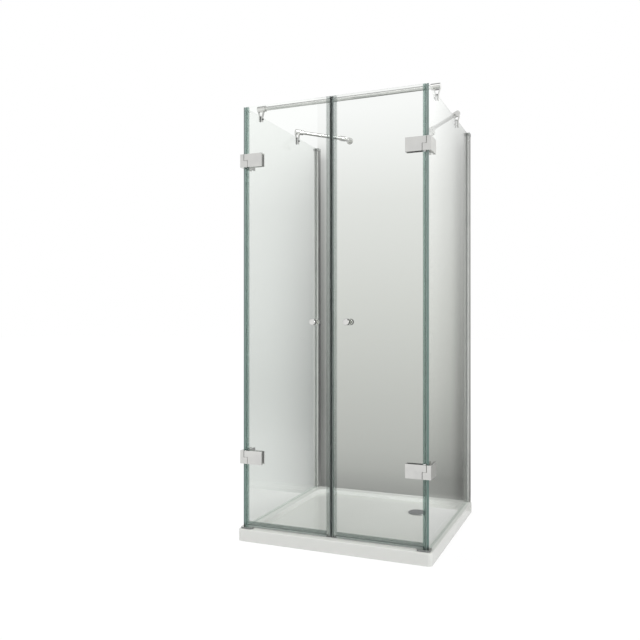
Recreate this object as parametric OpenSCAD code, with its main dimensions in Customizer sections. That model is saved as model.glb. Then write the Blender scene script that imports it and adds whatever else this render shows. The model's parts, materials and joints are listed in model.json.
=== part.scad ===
// U-shaped glass shower enclosure: two hinged doors between two fixed side panels, on a square tray.
// Origin at the centre of the tray's underside, +X right, +Y towards the wall, +Z up, in millimetres.
// Paired pieces are drawn on the right-hand side and mirrored to the left.

/* [Tray] */
// Width of the tray, left to right
tray_w = 900; // [800:10:1100]
// Depth of the tray, front to wall
tray_d = 900; // [800:10:1100]
// Height of the tray's rim above the floor
tray_h = 55; // [50:1:80]
// Radius of the tray's upright corners
tray_corner_r = 18; // [10:1:40]
// Rounding of the tray's top edge
tray_edge_r = 6; // [2:0.5:6.5]
// Width of the rim round the basin
rim_w = 56; // [50:1:80]
// Depth of the basin below the rim
basin_depth = 18; // [14:1:30]
// Radius of the basin's corners at the rim
basin_corner_r = 60; // [40:1:90]
// Run of the basin's sloping wall, seen from above
basin_slope = 16; // [10:1:30]
// Width of the bearing bands under the tray
band_w = 80; // [50:1:110]
// Height of the hollows between those bands
hollow_h = 8; // [7:1:10]

/* [Waste] */
// Waste position, right of the tray's centre
waste_x = 225; // [120:1:260]
// Waste position, behind the tray's centre
waste_y = 180; // [120:1:260]
// Diameter of the hole through the tray
waste_hole_d = 62; // [61:0.5:66]
// Diameter of the waste's flange
flange_d = 84; // [78:1:100]
// Thickness of the waste's flange
flange_t = 3; // [2:0.5:4]
// Thickness of the gasket under the flange
waste_gasket_t = 2; // [1:0.5:3]
// Outer diameter of the waste's threaded barrel
barrel_d = 60; // [59.5:0.5:61]
// Height of the barrel's open end above the floor
barrel_rise = 1.5; // [1:0.5:3]
// Diameter of the outlet bore at the bottom
outlet_d = 48; // [40:1:48]
// Diameter of the wider bore that holds the cover's legs
catch_d = 56; // [55:0.5:57]
// Depth of the wider bore below the basin floor
catch_depth = 10; // [8:1:12]
// Outer diameter of the clamping nut
waste_nut_d = 78; // [72:1:90]
// Height of the clamping nut
waste_nut_h = 5; // [4:0.5:6]
// Diameter of the drain cover
cover_d = 90; // [86:1:110]
// Thickness of the drain cover
cover_t = 4; // [3:0.5:6]
// Water gap between the basin floor and the cover
cover_gap = 2; // [2:0.5:4]
// Diameter of each cover leg
cover_leg_d = 4; // [3:0.5:4]

/* [Glass] */
// Thickness of all panes
glass_t = 8; // [6:1:10]
// Height of the side panes
panel_glass_h = 1924; // [1800:1:2000]
// From the tray's side to the side pane's outer face
side_inset = 17.5; // [16:0.5:22]
// From the tray's front to the doors' outer face
front_inset = 24.5; // [24:0.5:30]
// Height of the side panes' bottom edge above the rim
panel_lift = 6; // [5:0.5:8]
// Height of the doors' bottom edge above the rim
door_lift = 15; // [14:0.5:20]
// Gap between a side pane and its door's edge
hinge_gap = 6; // [5:0.5:8]
// Gap between the two doors' edges
meeting_gap = 15; // [13:0.5:18]

/* [Seals] */
// Wall thickness of the clip-on seals
seal_t = 1.2; // [1:0.1:1.5]
// Overlap of the magnetic seal on the pane
magnet_leg = 17; // [12:1:22]
// Overlap of the hinge-side seal on the pane
hinge_leg = 11; // [8:1:14]
// Overlap of the bottom seal on the pane
bottom_leg = 16; // [12:1:20]
// Free gap between the two magnetic seals
magnet_gap = 0.8; // [0.6:0.1:1.5]
// Free gap between the bottom seals and the threshold
sweep_gap = 0.5; // [0.4:0.1:1]
// Free gap between the hinge-side fin and the side pane
fin_gap = 0.3; // [0.3:0.1:1]
// Clearance of seals and linings round the pane
seal_fit = 0.1; // [0.05:0.05:0.2]

/* [Threshold] */
// Height of the threshold rail and the panel feet
threshold_h = 8; // [7:0.5:12]
// Depth of the threshold rail, front to back
threshold_d = 18; // [14:1:24]
// How far the rail stands in front of the doors' outer face
threshold_nose = 2.5; // [2:0.5:6]
// Width of a panel foot
foot_w = 58; // [45:1:70]
// Depth of a panel foot
foot_d = 40; // [34:1:45]
// How far a foot stands outside the side pane
foot_side = 8; // [6:0.5:11]
// How far a foot stands in front of the side pane
foot_front = 18; // [12:0.5:18]
// Radius of a foot's front corners
foot_r = 12; // [4:1:16]

/* [Wall profiles] */
// Width of the wall channel
wall_profile_w = 28; // [26:1:34]
// Depth of the wall channel
wall_profile_d = 25; // [22:1:32]
// Wall thickness of both extrusions
profile_t = 1.6; // [1.4:0.1:2]
// Sliding clearance between the two extrusions
profile_fit = 0.3; // [0.2:0.1:0.5]
// How far the adjusting extrusion stands in front of the wall channel
adjust_front = 10; // [8:1:16]
// Depth of the slot that takes the pane
slot_depth = 16; // [12:1:20]
// Thickness of the seal on each side of the pane
edge_seal_t = 2; // [1.5:0.5:2.5]
// Depth of the hollow part behind the slot
adjust_tail = 10; // [8:1:12]
// Thickness of the caps' tops
cap_t = 3; // [2:0.5:5]
// Thickness of the caps' skirts
cap_wall = 1.2; // [0.8:0.1:2]
// Depth of the caps' skirts
cap_skirt = 12; // [6:1:18]
// Spacing of the screws along the profiles
profile_screw_pitch = 800; // [600:10:850]
// Diameter of the screws through the profiles' sides
profile_screw_d = 4; // [3:0.5:5]
// Diameter of the wall fixing holes
wall_hole_d = 6; // [5:0.5:7]

/* [Hinges] */
// Height of a hinge leaf
leaf_h = 60; // [50:1:80]
// Thickness of a hinge leaf
leaf_t = 11; // [10:0.5:13]
// Length of the door leaf
door_leaf_l = 91; // [70:1:110]
// Length of the panel leaf
panel_leaf_l = 92; // [70:1:110]
// Thickness of the inner clamp plates
clamp_plate_t = 8; // [6:0.5:10]
// Thickness of the gaskets on the pane
gasket_t = 1; // [1:0.1:1.5]
// How far the gaskets stay inside the leaf's edge
gasket_inset = 4; // [2:0.5:8]
// Diameter of the hinge pin
pin_d = 8; // [6:0.5:8]
// Radial running clearance of the door leaf on the pin
pin_clearance = 0.05; // [0.02:0.01:0.09]
// Radial clearance of the pin in the panel leaf
pin_seat = 0.02; // [0.01:0.01:0.05]
// From the side pane's inner face to the pin's centre
pin_inset = 8; // [7:0.5:10]
// Radius of the knuckles round the pin
knuckle_r = 9.5; // [8:0.5:9.5]
// Gap between the knuckles and the other leaf
leaf_gap = 0.7; // [0.5:0.1:1]
// Thickness of the washer between the knuckles
hinge_washer_t = 1; // [0.8:0.1:1.5]
// Axial play between the washer and the door leaf
axial_play = 0.2; // [0.1:0.1:0.4]
// From the pane's top to the upper hinge's centre
upper_hinge_drop = 248; // [150:1:350]
// From the door pane's bottom to the lower hinge's centre
lower_hinge_rise = 311; // [150:1:400]
// Diameter of the hinge screws
hinge_screw_d = 6; // [5:0.5:7]
// Diameter of the hinge screws' countersunk heads
hinge_screw_head_d = 12; // [10:0.5:14]
// Height of the countersunk heads
hinge_screw_head_h = 3; // [2.5:0.5:4]
// Vertical spacing of the two screws of a leaf
hinge_screw_pitch = 32; // [24:1:36]
// From a leaf's free end to its screws
hinge_screw_inset = 34; // [24:1:40]
// Diameter of the holes in the pane for those screws
glass_hole_d = 14; // [12:1:16]
// Clearance of screws in their holes
screw_fit = 0.1; // [0.05:0.05:0.3]

/* [Knobs] */
// Diameter of a knob
knob_d = 28; // [22:1:36]
// Length of a knob
knob_l = 30; // [24:1:40]
// Diameter of a knob's neck
knob_neck_d = 15; // [12:1:18]
// Length of a knob's neck
knob_neck_l = 8; // [4:1:12]
// Rounding of a knob's head
knob_edge_r = 3; // [1:0.5:5]
// From the enclosure's centre to the knob
knob_x = 78; // [60:1:120]
// Height of the knobs above the doors' bottom edge
knob_rise = 930; // [800:10:1100]
// Diameter of the stud that joins a pair of knobs
knob_stud_d = 6; // [5:0.5:8]
// Thread length of the stud inside each knob
knob_thread = 14; // [10:1:18]
// Diameter of the knob's hole in the pane
knob_hole_d = 10; // [9:0.5:12]
// Thickness of the washers under the knobs
knob_washer_t = 1; // [1:0.5:2]

/* [Bar and braces] */
// Diameter of the front bar and the brace tubes
tube_d = 19; // [16:0.5:22]
// Wall thickness of those tubes
tube_wall = 1.5; // [1:0.25:2.5]
// Height of the front bar's axis above the panes' top
bar_rise = 37; // [30:1:50]
// Height of the braces' axes above the panes' top
brace_rise = 33; // [28:1:50]
// Distance of the front bar behind the doors' outer face
bar_setback = 165; // [120:1:300]
// Diameter of the sockets that hold the tubes
socket_d = 28; // [26:1:32]
// Clearance of a tube in its socket
tube_fit = 0.1; // [0.05:0.05:0.2]
// How far a bar socket reaches outside the side pane
socket_out = 12; // [11:1:26]
// How far a bar socket reaches inside the side pane
socket_in = 22; // [20:1:40]
// How far the bar's end runs past the side pane's outer face
bar_end = 6; // [0:1:8]
// Width of the bar clamp's fork where it leaves the socket
fork_top_w = 32; // [28:1:34]
// Width of the brace clamp's fork where it leaves the socket
brace_fork_top_w = 28; // [26:1:32]
// Depth of the forks along the pane
fork_d = 14; // [10:1:18]
// Thickness of a fork's jaw at its root
jaw_t = 4; // [3:0.5:5]
// Thickness of a fork's jaw at its tip
jaw_tip_t = 2; // [1.5:0.5:3]
// Height of pane that a bar clamp's fork grips
bar_grip = 24; // [18:1:34]
// Height of pane that a brace clamp's fork grips
brace_grip = 34; // [18:1:40]
// Thickness of the rubber lining in a fork
liner_t = 1; // [0.8:0.1:1.5]
// Thickness of a fork's sloping arms
arm_t = 5; // [4:0.5:6]
// Diameter of a fork's clamping screw
clamp_screw_d = 4; // [3:0.5:5]
// Diameter of that screw's head
clamp_head_d = 8; // [7:0.5:9]
// Height of that screw's head
clamp_head_h = 4; // [3:0.5:5]
// From the wall to the brace clamps, along the side pane
brace_clamp_setback = 290; // [240:1:360]
// From the enclosure's centre to the braces' wall fixing
brace_wall_x = 235; // [180:1:300]
// From the wall to the braces' swivel pin
swivel_setback = 45; // [40:1:60]
// How far a brace socket runs past the pane, away from the wall
brace_socket_back = 10; // [9:1:24]
// How far a brace socket runs towards the wall
brace_socket_front = 32; // [26:1:40]
// Diameter of the swivel's eye and ears
swivel_d = 24; // [20:1:28]
// Thickness of the swivel's eye
eye_t = 8; // [6:0.5:9]
// Thickness of the swivel's ears
ear_t = 5; // [4:0.5:6]
// Diameter of the swivel pin
swivel_pin_d = 6; // [5:0.5:8]
// Length of the socket at the brace's swivel end
brace_end_l = 32; // [26:1:40]
// Diameter of the wall rosettes
rosette_d = 38; // [32:1:50]
// Thickness of the wall rosettes
rosette_t = 6; // [5:0.5:10]
// Diameter of the neck between rosette and eye
neck_d = 14; // [12:0.5:16]
// Diameter of the threaded hole in the rosette
rosette_hole_d = 7; // [5:0.5:8]
// Depth of the threaded hole in the rosette
rosette_hole_depth = 14; // [10:1:18]
// Diameter of the set screws that hold the tubes
set_screw_d = 4; // [3:0.5:5]

/* [Hidden] */
$fn = 48;
cut = 1;           // how far a cutter runs past the face that it cuts
hull_fn = 32;      // facets of round shapes inside a hull

// Planes of the enclosure
wall_y = tray_d / 2;
front_y = -tray_d / 2 + front_inset;
door_back_y = front_y + glass_t;
glass_out_x = tray_w / 2 - side_inset;
glass_in_x = glass_out_x - glass_t;
glass_mid_x = glass_out_x - glass_t / 2;
rim_z = tray_h;
floor_z = rim_z - basin_depth;
panel_z = rim_z + panel_lift;
glass_top = panel_z + panel_glass_h;
door_z = rim_z + door_lift;
door_edge_x = glass_in_x - hinge_gap;
meeting_x = meeting_gap / 2;
threshold_z = rim_z + threshold_h;
door_seal_z = threshold_z + sweep_gap;

// Wall profiles
profile_front_y = wall_y - wall_profile_d - adjust_front;
adjust_w = wall_profile_w - 2 * profile_t - 2 * profile_fit;
slot_w = glass_t + 2 * edge_seal_t;
panel_back_y = profile_front_y + slot_depth;
adjust_back_y = panel_back_y + profile_t + adjust_tail;
profile_screw_y = (wall_y - wall_profile_d + adjust_back_y) / 2 + profile_t;
profile_screw_head_d = 2 * profile_screw_d - 1;
profile_screw_head_h = profile_screw_d / 2;
profile_mid_z = (rim_z + glass_top) / 2;
profile_screw_zs = [for (i = [-1:1]) profile_mid_z + i * profile_screw_pitch];
profile_l = glass_top - rim_z;

// Hinges
pin_x = glass_in_x - pin_inset;
leaf_back_y = front_y - gasket_t;
leaf_front_y = leaf_back_y - leaf_t;
pin_y = (leaf_back_y + leaf_front_y) / 2;
seam_gap = hinge_washer_t + axial_play;
hinge_zs = [door_z + lower_hinge_rise, glass_top - upper_hinge_drop];
door_leaf_end_x = pin_x + knuckle_r - door_leaf_l;
door_leaf_root_x = pin_x - knuckle_r - leaf_gap;
door_notch_x = pin_x - knuckle_r - 2;
door_screw_x = door_leaf_end_x + hinge_screw_inset;
panel_plate_x = glass_out_x + gasket_t;
panel_leaf_end_y = leaf_front_y + panel_leaf_l;
panel_screw_y = panel_leaf_end_y - hinge_screw_inset;
panel_plate_front_y = door_back_y + clamp_plate_t;
pin_l = leaf_h - 1;
hinge_washer_d = 2 * leaf_t - pin_d - 1;
hinge_zone = leaf_h + 4;
screw_bite = leaf_t - 4;
screw_zs = [for (z = hinge_zs, s = [-1, 1]) z + s * hinge_screw_pitch / 2];

// Bar and braces
bar_z = glass_top + bar_rise;
bar_y = front_y + bar_setback;
brace_z = glass_top + brace_rise;
brace_y = wall_y - brace_clamp_setback;
swivel_y = wall_y - swivel_setback;
brace_run = norm([glass_mid_x - brace_wall_x, swivel_y - brace_y]);
brace_angle = atan2(swivel_y - brace_y, brace_wall_x - glass_mid_x);
bar_l = 2 * (glass_out_x + bar_end);
fork_slot_w = glass_t + 2 * liner_t + 2 * seal_fit;
jaw_root_w = fork_slot_w + 2 * jaw_t;
jaw_tip_w = fork_slot_w + 2 * jaw_tip_t;
fork_roof_z = glass_top + liner_t + 2 * seal_fit;
fork_root_drop = tube_d / 2 + tube_fit + 1;
brace_end_gap = swivel_d / 2 + 2;
tube_in_socket = 22;
ear_gap = 0.2;
set_screw_l = (socket_d - tube_d) / 2 - tube_fit;

knob_z = door_z + knob_rise;

module left() mirror([1, 0, 0]) children();
module both() {
  children();
  left() children();
}

// A plate in the XY plane with rounded corners, of exact arcs
module rounded_plate(x0, y0, x1, y1, r) {
  translate([x0 + r, y0]) square([x1 - x0 - 2 * r, y1 - y0]);
  translate([x0, y0 + r]) square([x1 - x0, y1 - y0 - 2 * r]);
  for (x = [x0 + r, x1 - r], y = [y0 + r, y1 - r]) translate([x, y]) circle(r);
}

// One layer of a moulded shape: a thin rounded plate, for hull()
module layer(w, d, r, z) {
  translate([-w / 2, -d / 2, z]) linear_extrude(0.01) rounded_plate(0, 0, w, d, r, $fn = hull_fn);
}

// An extruded ring, such as a washer
module ring(outer_d, inner_d, h) {
  difference() {
    cylinder(d = outer_d, h = h);
    translate([0, 0, -cut]) cylinder(d = inner_d, h = h + 2 * cut);
  }
}

// Tray and waste

module tray_outside() {
  steps = [0, 30, 60, 90];
  hull() {
    layer(tray_w, tray_d, tray_corner_r, 0);
    for (a = steps) {
      inset = tray_edge_r * (1 - cos(a));
      layer(tray_w - 2 * inset, tray_d - 2 * inset, tray_corner_r - inset,
            rim_z - tray_edge_r + tray_edge_r * sin(a) - 0.01);
    }
  }
}

module basin() {
  basin_w = tray_w - 2 * rim_w;
  basin_d = tray_d - 2 * rim_w;
  cove = basin_slope / 2;
  hull() {
    layer(basin_w, basin_d, basin_corner_r, rim_z + cut);
    layer(basin_w, basin_d, basin_corner_r, rim_z);
    for (a = [0, 30, 60, 90]) {
      inset = basin_slope - cove + cove * (1 - sin(90 - a));
      layer(basin_w - 2 * inset, basin_d - 2 * inset, basin_corner_r - inset,
            floor_z + cove / 2 * (1 - sin(a)));
    }
  }
}

module at_waste() translate([waste_x, waste_y, 0]) children();

module shower_tray() {
  color([0.93, 0.94, 0.93]) difference() {
    tray_outside();
    basin();
    for (sx = [-1, 1], sy = [-1, 1]) {
      x0 = sx > 0 ? band_w / 2 : -tray_w / 2 + band_w;
      y0 = sy > 0 ? band_w / 2 : -tray_d / 2 + band_w;
      translate([x0, y0, -cut])
        cube([tray_w / 2 - band_w * 1.5, tray_d / 2 - band_w * 1.5, hollow_h + cut]);
    }
    at_waste() {
      translate([0, 0, -cut]) cylinder(d = waste_hole_d, h = tray_h);
      translate([0, 0, floor_z - flange_t - waste_gasket_t]) cylinder(d = flange_d + 2, h = tray_h);
    }
  }
}

module waste_gasket() {
  color([0.15, 0.15, 0.15]) at_waste()
    translate([0, 0, floor_z - flange_t - waste_gasket_t]) ring(flange_d, waste_hole_d, waste_gasket_t);
}

module waste_body() {
  color([0.8, 0.8, 0.82]) at_waste() difference() {
    union() {
      translate([0, 0, floor_z - flange_t]) cylinder(d = flange_d, h = flange_t);
      translate([0, 0, barrel_rise]) cylinder(d = barrel_d, h = floor_z - barrel_rise);
    }
    translate([0, 0, 0]) cylinder(d = outlet_d, h = tray_h);
    translate([0, 0, floor_z - catch_depth]) cylinder(d = catch_d, h = tray_h);
  }
}

module waste_nut() {
  nut_z = hollow_h - waste_nut_h;
  color([0.9, 0.9, 0.9]) at_waste() translate([0, 0, nut_z]) difference() {
    union() {
      cylinder(d = waste_nut_d - 6, h = waste_nut_h);
      for (a = [0:60:300]) rotate(a) translate([0, -4, 0]) cube([waste_nut_d / 2, 8, waste_nut_h]);
    }
    translate([0, 0, -cut]) cylinder(d = barrel_d + 2 * screw_fit, h = tray_h);
  }
}

module drain_cover() {
  leg_z = floor_z - catch_depth;
  leg_r = (outlet_d / 2 + catch_d / 2) / 2 - 0.1;
  edge = cover_t / 2;
  color([0.72, 0.73, 0.74]) at_waste() {
    translate([0, 0, floor_z + cover_gap]) rotate_extrude() {
      square([cover_d / 2 - edge, cover_t]);
      translate([0, edge]) square([cover_d / 2 - edge, edge]);
      translate([cover_d / 2 - edge, edge]) intersection() {
        circle(edge);
        translate([0, -edge]) square([edge, 2 * edge]);
      }
    }
    for (a = [0:90:270]) rotate(a + 45) translate([leg_r, 0, leg_z])
      cylinder(d = cover_leg_d, h = catch_depth + cover_gap + cover_t / 2);
  }
}

// Fixed side panels, their feet, the threshold and the wall profiles

module side_panel() {
  color([0.75, 0.86, 0.84, 0.45]) difference() {
    translate([glass_in_x, front_y, panel_z]) cube([glass_t, panel_back_y - front_y, panel_glass_h]);
    for (z = screw_zs) translate([glass_in_x - cut, panel_screw_y, z]) rotate([0, 90, 0])
      cylinder(d = glass_hole_d, h = glass_t + 2 * cut);
  }
}

module panel_bottom_seals() {
  foot_back_y = front_y - foot_front + foot_d;
  color([0.9, 0.92, 0.91]) both()
    translate([glass_in_x, foot_back_y, rim_z])
      cube([glass_t, profile_front_y - foot_back_y, panel_lift]);
}

module panel_feet() {
  x1 = glass_out_x + foot_side;
  y0 = front_y - foot_front;
  slot = glass_t + 2 * seal_fit;
  color([0.8, 0.8, 0.82]) both() difference() {
    translate([0, 0, rim_z]) linear_extrude(threshold_h) {
      translate([x1 - foot_w, y0 + foot_r]) square([foot_w, foot_d - foot_r]);
      translate([x1 - foot_w + foot_r, y0]) square([foot_w - 2 * foot_r, foot_r]);
      for (x = [x1 - foot_w + foot_r, x1 - foot_r]) translate([x, y0 + foot_r]) circle(foot_r);
    }
    translate([glass_in_x - seal_fit, front_y - seal_fit, panel_z])
      cube([slot, foot_d, threshold_h]);
  }
}

module threshold_rail() {
  half = glass_out_x + foot_side - foot_w;
  y0 = front_y - threshold_nose;
  y1 = y0 + threshold_d;
  nose_h = threshold_h / 2;
  color([0.78, 0.8, 0.8]) translate([-half, 0, 0]) rotate([90, 0, 90]) linear_extrude(2 * half)
    polygon([[y0, rim_z], [y1, rim_z], [y1, threshold_z], [y0 + nose_h, threshold_z], [y0, rim_z + nose_h]]);
}

module wall_profile() {
  x0 = glass_mid_x - wall_profile_w / 2;
  color([0.7, 0.71, 0.72]) difference() {
    translate([x0, wall_y - wall_profile_d, rim_z]) cube([wall_profile_w, wall_profile_d, profile_l]);
    translate([x0 + profile_t, wall_y - wall_profile_d - cut, rim_z - cut])
      cube([wall_profile_w - 2 * profile_t, wall_profile_d - profile_t + cut, profile_l + 2 * cut]);
    for (z = profile_screw_zs) {
      translate([glass_mid_x, wall_y + cut, z]) rotate([90, 0, 0])
        cylinder(d = wall_hole_d, h = profile_t + 2 * cut);
      translate([x0 - cut, profile_screw_y, z]) rotate([0, 90, 0])
        cylinder(d = profile_screw_d + 2 * screw_fit, h = profile_t + 2 * cut);
    }
  }
}

module adjusting_profile() {
  x0 = glass_mid_x - adjust_w / 2;
  color([0.78, 0.79, 0.8]) difference() {
    translate([x0, profile_front_y, rim_z]) cube([adjust_w, adjust_back_y - profile_front_y, profile_l]);
    translate([glass_mid_x - slot_w / 2, profile_front_y - cut, rim_z - cut])
      cube([slot_w, slot_depth + cut, profile_l + 2 * cut]);
    translate([x0 + profile_t, panel_back_y + profile_t, rim_z - cut])
      cube([adjust_w - 2 * profile_t, adjust_tail + cut, profile_l + 2 * cut]);
    for (z = profile_screw_zs) translate([x0 - cut, profile_screw_y, z]) rotate([0, 90, 0])
      cylinder(d = profile_screw_d + 2 * screw_fit, h = profile_t + 2 * cut);
  }
}

// A cap slips over both extrusions and the pane's top corner
module profile_caps() {
  x0 = glass_mid_x - wall_profile_w / 2 - seal_fit;
  w = wall_profile_w + 2 * seal_fit;
  y0 = profile_front_y - seal_fit;
  d = wall_y - y0;
  color([0.5, 0.51, 0.5]) both() translate([0, 0, glass_top - cap_skirt]) difference() {
    translate([x0 - cap_wall, y0 - cap_wall, 0]) cube([w + 2 * cap_wall, d + cap_wall, cap_skirt + cap_t]);
    translate([x0, y0, -cut]) cube([w, d + cut, cap_skirt + cut]);
    translate([glass_in_x - seal_fit, y0 - cap_wall - cut, -cut])
      cube([glass_t + 2 * seal_fit, cap_wall + 2 * cut, cap_skirt + cut]);
  }
}

module panel_edge_seals() {
  strip = edge_seal_t - seal_fit;
  color([0.3, 0.32, 0.32]) both() for (x = [glass_in_x - edge_seal_t, glass_out_x + seal_fit])
    translate([x, profile_front_y, panel_z]) cube([strip, slot_depth - 1, panel_glass_h]);
}

module profile_screws() {
  x0 = glass_mid_x - wall_profile_w / 2;
  color([0.75, 0.75, 0.75]) both() for (z = profile_screw_zs)
    translate([x0, profile_screw_y, z]) rotate([0, 90, 0]) {
      translate([0, 0, -profile_screw_head_h])
        cylinder(d = profile_screw_head_d, h = profile_screw_head_h);
      cylinder(d = profile_screw_d, h = 2 * profile_t + profile_fit + 2);
    }
}

// Front bar, braces, clamps and wall fixings

// A tube along +X from the origin
module tube(l) rotate([90, 0, 90]) ring(tube_d, tube_d - 2 * tube_wall, l);

// A round rod along +X, from x = from to x = to
module rod(d, from, to) translate([from, 0, 0]) rotate([0, 90, 0]) cylinder(d = d, h = to - from);

// A clamping fork over the pane's top edge, in world Z and centred on the pane's middle
module fork(top_w, grip, root_z) {
  throat_w = top_w - 2 * arm_t;
  tip_z = glass_top - grip;
  translate([0, fork_d / 2, 0]) rotate([90, 0, 0]) linear_extrude(fork_d) difference() {
    polygon([
      [-jaw_tip_w / 2, tip_z], [jaw_tip_w / 2, tip_z],
      [jaw_root_w / 2, fork_roof_z], [top_w / 2, root_z],
      [-top_w / 2, root_z], [-jaw_root_w / 2, fork_roof_z]
    ]);
    translate([-fork_slot_w / 2, tip_z - cut]) square([fork_slot_w, fork_roof_z - tip_z + cut]);
    polygon([
      [-fork_slot_w / 2, fork_roof_z - seal_fit], [fork_slot_w / 2, fork_roof_z - seal_fit],
      [throat_w / 2, root_z - 4], [-throat_w / 2, root_z - 4]
    ]);
  }
}

// The screw hole through a fork's inner jaw
module fork_screw_hole(grip) {
  translate([-jaw_root_w, 0, glass_top - grip / 2]) rotate([0, 90, 0])
    cylinder(d = clamp_screw_d + 2 * screw_fit, h = jaw_root_w);
}

// The upright hole for a set screw, through a socket's underside
module set_screw_hole(x) {
  translate([x, 0, -socket_d]) cylinder(d = set_screw_d + 2 * screw_fit, h = socket_d);
}

module bar_clamps() {
  from = -glass_t / 2 - socket_in;
  to = glass_t / 2 + socket_out;
  color([0.8, 0.8, 0.82]) both() translate([glass_mid_x, bar_y, 0]) difference() {
    union() {
      translate([0, 0, bar_z]) rod(socket_d, from, to);
      fork(fork_top_w, bar_grip, bar_z - fork_root_drop);
    }
    translate([0, 0, bar_z]) {
      rod(tube_d + 2 * tube_fit, from - cut, glass_t / 2 + bar_end + tube_fit);
      set_screw_hole(from + set_screw_d * 1.5);
    }
    fork_screw_hole(bar_grip);
  }
}

module front_bar() {
  color([0.85, 0.85, 0.86]) translate([-bar_l / 2, bar_y, bar_z]) tube(bar_l);
}

// Puts a brace piece, drawn along +X from the pane's middle, on the brace's line
module along_brace() translate([glass_mid_x, brace_y, brace_z]) rotate(brace_angle) children();

module brace_tube() {
  start = brace_socket_front - tube_in_socket;
  end = brace_run - brace_end_gap - brace_end_l + tube_in_socket;
  color([0.85, 0.85, 0.86]) along_brace() translate([start, 0, 0]) tube(end - start);
}

module brace_clamps() {
  start = brace_socket_front - tube_in_socket - tube_fit;
  color([0.8, 0.8, 0.82]) both() difference() {
    union() {
      along_brace() rod(socket_d, -brace_socket_back, brace_socket_front);
      translate([glass_mid_x, brace_y, 0]) fork(brace_fork_top_w, brace_grip, brace_z - fork_root_drop);
    }
    along_brace() {
      rod(tube_d + 2 * tube_fit, start, brace_socket_front + cut);
      set_screw_hole(brace_socket_front - set_screw_d * 1.5);
    }
    translate([glass_mid_x, brace_y, 0]) fork_screw_hole(brace_grip);
  }
}

// The clamps' places on the pane's top edge, each with the height of pane that its fork grips
clamp_places = [[bar_y, bar_grip], [brace_y, brace_grip]];

module clamp_liners() {
  w = glass_t + 2 * seal_fit;
  color([0.12, 0.13, 0.13]) both() for (p = clamp_places) {
    h = p[1] - 1;
    translate([glass_mid_x, p[0] - fork_d / 2, glass_top - h]) difference() {
      translate([-w / 2 - liner_t, 0, 0]) cube([w + 2 * liner_t, fork_d, h + seal_fit + liner_t]);
      translate([-w / 2, -cut, -cut]) cube([w, fork_d + 2 * cut, h + seal_fit + cut]);
    }
  }
}

module clamp_screws() {
  color([0.1, 0.1, 0.1]) both() for (p = clamp_places) {
    // The jaw tapers, so the head seats where the jaw is widest under it
    share = (p[1] / 2 + clamp_head_d / 2) / (p[1] + fork_roof_z - glass_top);
    seat = (jaw_tip_w + (jaw_root_w - jaw_tip_w) * share) / 2;
    translate([glass_mid_x, p[0], glass_top - p[1] / 2]) {
      rod(clamp_head_d, -seat - clamp_head_h, -seat);
      rod(clamp_screw_d, -seat - 1, -fork_slot_w / 2);
    }
  }
}

// The brace's end: a socket for the tube and two ears round the swivel pin
module brace_ends() {
  ear_z = eye_t / 2 + ear_gap;
  color([0.8, 0.8, 0.82]) both() along_brace() translate([brace_run, 0, 0]) difference() {
    union() {
      rod(socket_d, -brace_end_gap - brace_end_l, -brace_end_gap);
      for (s = [-1, 1]) translate([0, 0, s > 0 ? ear_z : -ear_z - ear_t]) {
        cylinder(d = swivel_d, h = ear_t);
        translate([-brace_end_gap - 1, -swivel_d / 2, 0]) cube([brace_end_gap + 1, swivel_d, ear_t]);
      }
    }
    rod(tube_d + 2 * tube_fit, -brace_end_gap - brace_end_l - cut,
        -brace_end_gap - brace_end_l + tube_in_socket + tube_fit);
    translate([0, 0, -swivel_d]) cylinder(d = swivel_pin_d + 2 * screw_fit, h = 2 * swivel_d);
    set_screw_hole(-brace_end_gap - brace_end_l + set_screw_d * 1.5);
  }
}

module wall_rosettes() {
  neck_from = swivel_d / 2 + 1.5;
  color([0.8, 0.8, 0.82]) both() translate([brace_wall_x, swivel_y, brace_z]) difference() {
    union() {
      translate([0, 0, -eye_t / 2]) cylinder(d = swivel_d, h = eye_t);
      translate([-neck_d / 2, 0, -eye_t / 2]) cube([neck_d, neck_from + 2, eye_t]);
      translate([0, swivel_setback, 0]) rotate([90, 0, 0]) {
        cylinder(d = rosette_d, h = rosette_t);
        cylinder(d = neck_d, h = swivel_setback - neck_from);
      }
    }
    translate([0, 0, -swivel_d]) cylinder(d = swivel_pin_d + 2 * screw_fit, h = 2 * swivel_d);
    translate([0, swivel_setback + cut, 0]) rotate([90, 0, 0])
      cylinder(d = rosette_hole_d, h = rosette_hole_depth + cut);
  }
}

module swivel_pins() {
  half = eye_t / 2 + ear_gap + ear_t;
  head_h = 2;
  color([0.65, 0.65, 0.67]) both() translate([brace_wall_x, swivel_y, brace_z]) {
    translate([0, 0, -half]) cylinder(d = swivel_pin_d, h = 2 * half);
    for (s = [0, 1]) mirror([0, 0, s]) translate([0, 0, half]) cylinder(d = swivel_pin_d * 1.8, h = head_h);
  }
}

module set_screws() {
  module screw() translate([0, 0, -socket_d / 2]) cylinder(d = set_screw_d, h = set_screw_l);
  color([0.2, 0.2, 0.2]) both() {
    translate([glass_in_x - socket_in + set_screw_d * 1.5, bar_y, bar_z]) screw();
    along_brace() {
      translate([brace_socket_front - set_screw_d * 1.5, 0, 0]) screw();
      translate([brace_run - brace_end_gap - brace_end_l + set_screw_d * 1.5, 0, 0]) screw();
    }
  }
}

// Doors: pane, seals and knobs

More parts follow.
